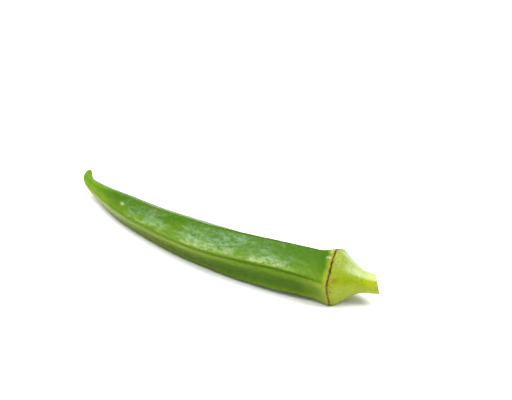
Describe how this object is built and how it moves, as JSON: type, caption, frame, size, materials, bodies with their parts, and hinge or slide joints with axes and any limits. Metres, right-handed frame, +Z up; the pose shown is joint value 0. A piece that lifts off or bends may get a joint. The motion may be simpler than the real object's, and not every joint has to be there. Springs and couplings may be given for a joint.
{
  "type": "okra pod",
  "caption": "Fresh okra pod lying on its side: ridged tapering body with a hooked tip, a scar ring, a smooth cap and a cut stalk.",
  "frame": {"origin": "on the surface the pod lies on, under the middle of its bounding box", "axes": "+Z up, +X along the chord from the hooked tip to the cut stalk, +Y to the side the pod bends towards"},
  "size_m": [0.1164, 0.0226, 0.0172],
  "materials": {
    "okra_skin": "satin"
  },
  "bodies": {
    "root": {"okra_pod": "okra_skin"}
  },
  "joints": []
}
